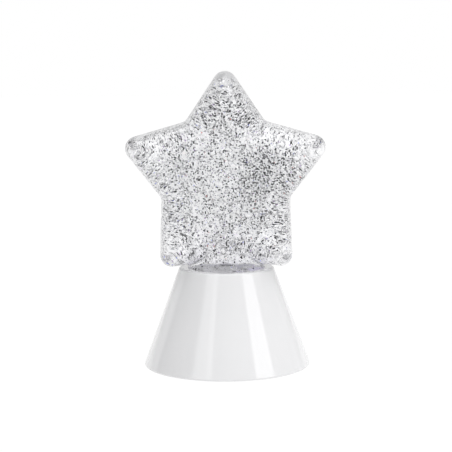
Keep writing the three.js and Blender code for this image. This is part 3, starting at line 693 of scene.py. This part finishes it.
def build_cloud(material):
    """The dense middle of the glitter, and the plume that the stirrer drives up from the neck."""
    rough = joined(
        star_cushion(CLOUD_INSET, CLOUD_HALF_T),
        neck_cylinder(PLUME_R, PLUME_BOTTOM, PLUME_TOP),
    )
    for vertex in rough.vertices:
        vertex.co.z = min(vertex.co.z, CLOUD_TOP)
    mesh = with_modifiers(
        rough,
        ("REMESH", {"mode": "VOXEL", "voxel_size": CLOUD_VOXEL}),
        ("SMOOTH", {"factor": 0.5, "iterations": 12}),
    )
    smooth_shaded(mesh)
    mesh.materials.append(material)
    add_piece("glitter_cloud", mesh, "lamp", ("star_liquid",))


def gathered(x, z):
    """How strongly the swirl gathers flakes at a place: above 0 for more, below for fewer."""
    total = 0
    for at_x, at_z, reach, change in SWIRLS:
        total += change * math.exp(-((x - at_x) ** 2 + (z - at_z) ** 2) / reach**2)
    return total


def flake_chance(x, z, swirl):
    """The chance that a place holds a flake."""
    wave = noise.noise(Vector((x, 0, z)) * CROWDING_SCALE)
    return CROWDING + CROWDING_NOISE * wave + CROWDING_SWIRL * swirl


def flake_room(x, height, depth):
    """The least and the greatest distance from the middle plane between the cloud and the wall."""
    low, high = 0, swell(depth, STAR_HALF_T - STAR_WALL) - WALL_CLEAR
    cloud_depth = CLOUD_INSET - STAR_WALL
    if depth > cloud_depth:
        low = swell(depth - cloud_depth, CLOUD_HALF_T) + CLOUD_CLEAR
    if abs(x) < PLUME_R and height < PLUME_TOP:
        low = max(low, math.sqrt(PLUME_R**2 - x**2) + CLOUD_CLEAR)
    return low, high


def glitter_places(count):
    """Random (place, stretch, gathering) between the cloud and the wall, spread evenly over the face."""
    outline = star_outline(STAR_WALL, tip_steps=4, corner_steps=2)
    grid = {}
    reach = TIP_CENTRE_R + TIP_R
    places = []
    while len(places) < count:
        x, z = rng.uniform(-reach, reach), rng.uniform(-reach, reach)
        cell = (round(x / GRID), round(z / GRID))
        if cell not in grid:
            grid[cell] = edge_distance(cell[0] * GRID, cell[1] * GRID, outline)
        depth, way = grid[cell]
        height = STAR_CENTRE.z + z
        too_near_edge = depth < EDGE_CLEAR + TOP_CLEAR * max(-way.y, 0)
        if too_near_edge or height > LIQUID_TOP - SURFACE_CLEAR:
            continue
        in_tip = math.hypot(x, z) > TIP_CENTRE_R - TIP_DEPTH
        swirl = gathered(x, z) - (TIP_THINNING if in_tip else 0)
        low, high = flake_room(x, height, depth)
        if low > high or rng.random() > flake_chance(x, z, swirl):
            continue
        at = STAR_CENTRE + Vector((x, rng.choice((-1, 1)) * rng.uniform(low, high), z))
        is_drawn = rng.random() < DRAWN_SHARE and not in_tip
        drawn = DRAWN_STRETCH * max(1 - depth / DRAWN_DEPTH, 0) if is_drawn else 0
        places.append((at, Vector((way.x, 0, way.y)) * drawn, swirl))
    return places


def neck_places(count):
    """Random (place, stretch, gathering) along the neck's wall, round the impeller and above it."""
    places = []
    while len(places) < count:
        radius = NECK_FLAKES_R * math.sqrt(rng.random())
        angle = rng.uniform(0, TURN)
        z = rng.uniform(*NECK_FLAKES_Z)
        if radius < IMPELLER_ROOM_R:
            continue
        at = Vector((radius * math.cos(angle), radius * math.sin(angle), z))
        places.append((at, Vector(), NECK_SWIRL))
    return places


def surface_places(count):
    """Bright flakes that float at the liquid's top surface, along the wall."""
    places = []
    for _ in range(count):
        x = rng.uniform(-SURFACE_HALF_WIDTH, SURFACE_HALF_WIDTH)
        y = rng.choice((-1, 1)) * rng.uniform(*SURFACE_REACH) * MM
        at = Vector((x, y, LIQUID_TOP - rng.uniform(*SURFACE_SINK) * MM))
        places.append((at, Vector(), SURFACE_SWIRL))
    return places


def flake_turn(facing):
    """A random turn, or one that lies nearly flat to the front."""
    if not facing:
        return Euler([rng.uniform(0, TURN) for _ in range(3)]).to_matrix()
    lean = math.pi / 2 + rng.uniform(-FACING_TILT, FACING_TILT)
    spin = Matrix.Rotation(rng.uniform(0, TURN), 3, "Z")
    swing = Matrix.Rotation(rng.uniform(-FACING_TILT, FACING_TILT), 3, "Z")
    return swing @ Matrix.Rotation(lean, 3, "X") @ spin


def flake_kind(swirl):
    """Picks a kind of flake. The dark ones gather most."""
    weights = [weight for *_, weight in GLITTER]
    weights[GLITTER_DARK] *= max(DARK_FACTOR + DARK_SWIRL * swirl, 0)
    weights[GLITTER_GREY] *= max(1 + min(swirl, 0), 0)
    return rng.choices(range(len(GLITTER)), weights)[0]


def flake_points(place, drawn, is_dark):
    """A flake's corners, then its two middles, turned at random and drawn out along a vector."""
    facing_share = DRAWN_FACING_SHARE if drawn.length > 1 else FACING_SHARE
    turn = flake_turn(is_dark or rng.random() < facing_share)
    radius = rng.uniform(*(DARK_FLAKE_RADII if is_dark else FLAKE_RADII))
    radius *= 1 - DRAWN_THINNING * drawn.length
    angles = [TURN * k / FLAKE_SIDES for k in range(FLAKE_SIDES)]
    corners = [(radius * math.cos(angle), radius * math.sin(angle), 0) for angle in angles]
    corners += [(0, 0, -FLAKE_THICKNESS / 2), (0, 0, FLAKE_THICKNESS / 2)]
    points = []
    for corner in corners:
        offset = turn @ Vector(corner)
        if drawn.length_squared:
            offset += drawn * offset.dot(drawn.normalized())
        points.append(tuple(place + offset))
    return points


def build_glitter(name, places, materials):
    """Thin hexagonal flakes as one mesh. The dark kind is larger and lies flatter to the front."""
    points, faces, slots = [], [], []
    for place, drawn, swirl in places:
        kind = flake_kind(swirl)
        first = len(points)
        points += flake_points(place, drawn, kind == GLITTER_DARK)
        for k in range(FLAKE_SIDES):
            after = (k + 1) % FLAKE_SIDES
            faces.append((first + after, first + k, first + FLAKE_SIDES))
            faces.append((first + k, first + after, first + FLAKE_SIDES + 1))
        slots += [kind] * (2 * FLAKE_SIDES)
    mesh = mesh_of(points, faces)
    for material in materials:
        mesh.materials.append(material)
    mesh.polygons.foreach_set("material_index", slots)
    add_piece(name, mesh, "lamp", ("star_liquid",))


def cone_profile():
    """The base's closed section: the rim, the outside, the shoulder, the socket and the inside."""
    lean = math.degrees(math.atan(SLOPE))
    shoulder_z = BASE_TOP - SHOULDER_R

    def outer(z):
        return BASE_BOTTOM_R - SLOPE * (z - RIM_Z)

    return [
        (LEDGE_R, RIM_Z),
        *arc(BASE_BOTTOM_R - RIM_R - ROUNDING_INSET, RIM_Z + RIM_R, RIM_R, -90, lean, 8),
        *arc(outer(shoulder_z) - SHOULDER_R - ROUNDING_INSET, shoulder_z, SHOULDER_R, lean, 90, 12),
        *arc(SOCKET_R + SOCKET_EDGE_R, BASE_TOP - SOCKET_EDGE_R, SOCKET_EDGE_R, 90, 180, 5),
        (SOCKET_R, LIP_TOP),
        (LIP_R, LIP_TOP),
        (LIP_R, LIP_Z),
        (SOCKET_R + SOCKET_WALL, LIP_Z),
        (SOCKET_R + SOCKET_WALL, CEILING_Z),
        (outer(CEILING_Z) - BASE_WALL, CEILING_Z),
        (outer(LEDGE_Z) - BASE_WALL, LEDGE_Z),
        (LEDGE_R, LEDGE_Z),
    ]


def build_base(material):
    mesh = smooth_shaded(turned(cone_profile(), BASE_SIDES), BASE_HARD_EDGE)
    mesh.materials.append(material)
    add_piece("base_cone", mesh, "lamp", ("base_shell",))


def dress(names, material, bevel=BEVEL):
    """Gives CAD nodes a material and softens their edges."""
    for name in names:
        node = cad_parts[name]
        node.data.materials.clear()
        node.data.materials.append(material)
        if bevel:
            edge = node.modifiers.new("edge", "BEVEL")
            edge.width = bevel
            edge.segments = 2
            edge.limit_method = "ANGLE"
            edge.angle_limit = BEVEL_ANGLE
            edge.harden_normals = True


def numbered(stem, count):
    return [f"{stem}_{k + 1}" for k in range(count)]


def dress_cad_nodes():
    steel = plated_steel()
    dress(["base_plate", "battery_door"], satin_white(), PLATE_BEVEL)
    dress(["motor_bracket", "drive_disc", "impeller"], bpy.data.materials["satin_white"])
    dress(["neck_plug"], frosted_acrylic())
    dress(["neck_plug_oring", "fill_hole_stopper", "neck_gasket"], rubber("rubber_seal", (0.3, 0.3, 0.31)), 0)
    dress(numbered("rubber_foot", 4), rubber("rubber_foot", (0.5, 0.5, 0.51)))
    dress(["impeller_pin", "impeller_retainer", "motor_shaft", "switch_body"], steel, METAL_BEVEL)
    for stem, count in (("plate_screw", 4), ("bracket_screw", 3), ("board_screw", 3), ("motor_screw", 2)):
        dress(numbered(stem, count), steel, METAL_BEVEL)
    dress(numbered("contact_spring", 3), steel, 0)
    contacts = ["contact_negative_end", "contact_link_right", "contact_link_left", "contact_positive_end"]
    dress(contacts, steel, SHEET_BEVEL)
    dress(["motor_can"], drawn_can())
    dress(["motor_end_cap", "control_chip", "switch_knob"], satin_black())
    dress(numbered("drive_magnet", 2) + numbered("impeller_magnet", 2), nickel())
    dress(["circuit_board"], solder_mask(), METAL_BEVEL)
    dress(numbered("led", 3), led_epoxy(), 0)
    dress(numbered("battery_cell", 3), cell_sleeve())
    dress(["lead_battery_plus", "lead_motor_plus"], vinyl("vinyl_red", (0.45, 0.03, 0.02)), 0)
    black_leads = ["lead_battery_minus", "lead_switch", "lead_motor_minus"]
    dress(black_leads, vinyl("vinyl_black", (0.02, 0.02, 0.02)), 0)


# ---------- studio ----------


def by_ray(tree, for_camera, for_others):
    """One value for what the camera sees directly, another for the light that falls on the lamp."""
    seen = tree.nodes.new("ShaderNodeLightPath").outputs["Is Camera Ray"]
    mix = tree.nodes.new("ShaderNodeMix")
    mix.data_type = "FLOAT"
    tree.links.new(seen, mix.inputs["Factor"])
    mix.inputs["B"].default_value = for_camera
    if isinstance(for_others, (int, float)):
        mix.inputs["A"].default_value = for_others
    else:
        tree.links.new(for_others, mix.inputs["A"])
    return mix.outputs["Result"]


def build_floor():
    """A wide white light table under the lamp."""
    corners = [(x * FLOOR_HALF, y * FLOOR_HALF, 0) for x, y in ((-1, -1), (1, -1), (1, 1), (-1, 1))]
    mesh = mesh_of(corners, [(0, 1, 2, 3)])
    floor = bpy.data.objects.new("floor", mesh)
    bpy.context.scene.collection.objects.link(floor)
    shader = Shader("floor_white", (0.02, 0.02, 0.02), 0.9, IOR=1.05)
    shader.main.inputs["Emission Color"].default_value = (1, 1, 1, 1)
    glow = by_ray(shader.material.node_tree, PAPER_WHITE, FLOOR_GLOW)
    shader.links.new(glow, shader.main.inputs["Emission Strength"])
    mesh.materials.append(shader.material)


class Sky:
    """The studio as a world shader: values are brightness, by direction."""

    def __init__(self):
        self.world = bpy.data.worlds.new("studio")
        bpy.context.scene.world = self.world
        self.world.use_nodes = True
        self.nodes = self.world.node_tree.nodes
        self.links = self.world.node_tree.links
        way = self.nodes.new("ShaderNodeTexCoord").outputs["Generated"]
        split = self.nodes.new("ShaderNodeSeparateXYZ")
        self.links.new(way, split.inputs[0])
        self.x, self.y, self.z = split.outputs

    def math(self, operation, first, second=0.0, third=0.0):
        made = self.nodes.new("ShaderNodeMath")
        made.operation = operation
        for socket, value in zip(made.inputs, (first, second, third)):
            if isinstance(value, (int, float)):
                socket.default_value = value
            else:
                self.links.new(value, socket)
        return made.outputs[0]

    def step(self, value, low, high):
        """0 below low, 1 above high, and smooth between."""
        spread = self.nodes.new("ShaderNodeMapRange")
        spread.interpolation_type = "SMOOTHSTEP"
        spread.inputs["From Min"].default_value = low
        spread.inputs["From Max"].default_value = high
        self.links.new(value, spread.inputs["Value"])
        return spread.outputs["Result"]

    def band(self, value, low, high, edge):
        """1 between low and high, fading to 0 over an edge outside them."""
        rise = self.step(value, low - edge, low)
        fall = self.math("SUBTRACT", 1.0, self.step(value, high, high + edge))
        return self.math("MULTIPLY", rise, fall)

    def box(self, azimuth, elevation, edge, strength):
        """A soft box between two azimuths and two elevations, in degrees. 0 is the front, 90 the right."""
        turn = self.math("ARCTAN2", self.x, self.math("MULTIPLY", self.y, -1.0))
        tilt = self.math("ARCSINE", self.z)
        side = self.band(turn, math.radians(azimuth[0]), math.radians(azimuth[1]), math.radians(edge))
        rise = self.band(tilt, math.radians(elevation[0]), math.radians(elevation[1]), math.radians(edge))
        return self.math("MULTIPLY", self.math("MULTIPLY", side, rise), strength)


# The studio has four kinds of light and a dim room round them.
FILL, KEY, OVERHEAD, STRIPE = 0.5, 1.0, 1.5, 2.0
ROOM_LIGHT = 0.25

# Soft boxes as (azimuths, elevations, edge, brightness), in degrees.
BOXES = [
    ((-46, -26), (14, 46), 8, KEY),
    ((-26, 40), (14, 46), 8, FILL),
    ((44, 66), (14, 46), 5, STRIPE),
    ((70, 118), (2, 46), 6, FILL),
    ((122, 180), (-2, 46), 6, FILL),
    ((-180, -118), (-2, 25), 6, FILL),
    ((-180, 180), (54, 95), 6, OVERHEAD),
]


def build_world():
    """A dim room with soft boxes round the lamp and a large one overhead. The camera sees white paper."""
    sky = Sky()
    light = sky.math("ADD", ROOM_LIGHT, 0.0)
    for azimuths, elevations, edge, strength in BOXES:
        light = sky.math("ADD", light, sky.box(azimuths, elevations, edge, strength))
    background = sky.nodes["Background"]
    sky.links.new(by_ray(sky.world.node_tree, PAPER_WHITE, light), background.inputs["Strength"])
    background.inputs["Color"].default_value = (1, 1, 1, 1)


def build_camera():
    lens = bpy.data.cameras.new("camera")
    lens.sensor_width = CAMERA_SENSOR
    lens.lens = CAMERA_LENS
    camera = bpy.data.objects.new("camera", lens)
    bpy.context.scene.collection.objects.link(camera)
    camera.location = CAMERA_PLACE
    turn = Matrix.Rotation(CAMERA_PITCH, 3, "X") @ Matrix.Rotation(CAMERA_ROLL, 3, "Z")
    camera.rotation_euler = turn.to_euler()
    bpy.context.scene.camera = camera


def main():
    build_camera()
    build_world()
    build_floor()
    dress_cad_nodes()
    build_star_shell(clear_acrylic())
    build_base(gloss_white())
    build_cloud(glitter_cloud())
    flakes = glitter_materials()
    places = glitter_places(STAR_FLAKES)
    for part in range(STAR_PARTS):
        build_glitter(f"glitter_{part + 1}", places[part::STAR_PARTS], flakes)
    build_glitter("glitter_in_neck", neck_places(NECK_FLAKES), flakes)
    build_glitter("glitter_at_surface", surface_places(SURFACE_FLAKES), flakes)
    build_bubble(bubble_grey())
    bpy.context.scene.view_settings.view_transform = "Standard"


main()
